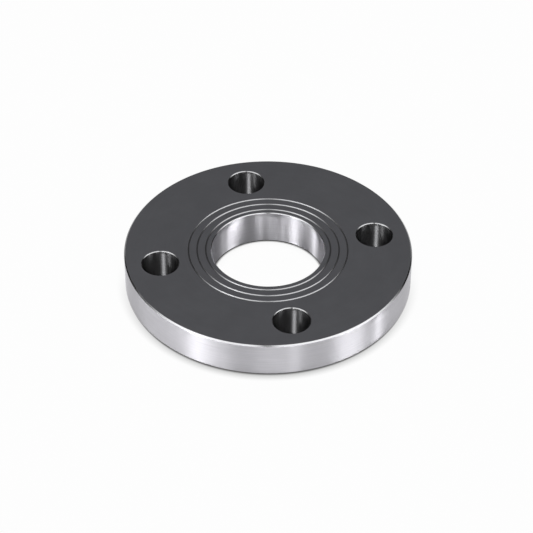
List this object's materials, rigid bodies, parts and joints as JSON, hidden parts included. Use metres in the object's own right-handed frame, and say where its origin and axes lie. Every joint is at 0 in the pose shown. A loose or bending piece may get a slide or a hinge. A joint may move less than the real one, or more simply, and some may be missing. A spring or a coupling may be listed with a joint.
{
  "type": "flat-face pipe flange",
  "caption": "Flat round pipe flange with a plain bore, bolt holes on a circle and V grooves round the bore in its gasket face.",
  "frame": {"origin": "centre of the flat back face, on the bore's axis", "axes": "+Z along the bore's axis, out of the grooved gasket face; +X through the centre of the first bolt hole"},
  "size_m": [0.15, 0.15, 0.019],
  "materials": {
    "machined_steel": "machined all over: dark satin gasket face and back face, bright turned rim, bore, bolt holes, chamfers and grooves"
  },
  "bodies": {
    "root": {"flange": "machined_steel"}
  },
  "joints": []
}
